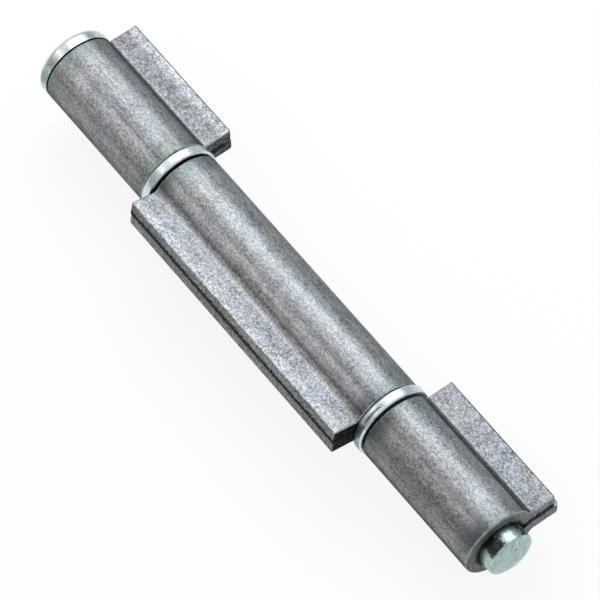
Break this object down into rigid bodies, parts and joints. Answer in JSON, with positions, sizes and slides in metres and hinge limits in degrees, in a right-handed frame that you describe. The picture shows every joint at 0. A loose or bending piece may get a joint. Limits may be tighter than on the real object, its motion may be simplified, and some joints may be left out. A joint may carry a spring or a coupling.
{
  "type": "weld-on barrel hinge",
  "caption": "Steel weld-on barrel hinge: barrels rolled from strip turn on a headed pin, with washers between them and a flat weld leaf on each.",
  "frame": {"origin": "on the pin's axis, halfway along the hinge", "axes": "+X along the pin from its head to its domed tip, +Y the way the two outer leaves reach, +Z square to the outer leaves; the underside of the outer leaves is the face they are welded by"},
  "size_m": [0.1272, 0.0242, 0.0148],
  "materials": {
    "bare_steel": "bare mill steel, dull, with fine marks along the strip and darker sheared edges",
    "pin_plating": "bright zinc plating with a cool blue-green tint",
    "washer_plating": "bright zinc plating with a cool blue-green tint"
  },
  "bodies": {
    "head_end_section": {"head_end_leaf": "bare_steel"},
    "middle_section": {"middle_leaf": "bare_steel"},
    "tip_end_section": {"tip_end_leaf": "bare_steel"},
    "pin": {"hinge_pin": "pin_plating"},
    "washer_by_head": {"head_side_washer": "washer_plating"},
    "washer_by_tip": {"tip_side_washer": "washer_plating"}
  },
  "joints": [
    {"name": "middle_leaf_turn", "type": "hinge", "parent": "head_end_section", "child": "middle_section", "pos_m": [0, 0, 0], "axis": [1, 0, 0], "continuous": true},
    {"name": "tip_end_leaf_turn", "type": "hinge", "parent": "head_end_section", "child": "tip_end_section", "pos_m": [0.04515, 0, 0], "axis": [1, 0, 0], "continuous": true},
    {"name": "head_side_washer_turn", "type": "hinge", "parent": "head_end_section", "child": "washer_by_head", "pos_m": [-0.03115, 0, 0], "axis": [1, 0, 0], "continuous": true},
    {"name": "tip_side_washer_turn", "type": "hinge", "parent": "head_end_section", "child": "washer_by_tip", "pos_m": [0.02955, 0, 0], "axis": [1, 0, 0], "continuous": true},
    {"name": "pin_draw", "type": "slide", "parent": "head_end_section", "child": "pin", "axis": [-1, 0, 0], "range_m": [0, 0.125]}
  ]
}
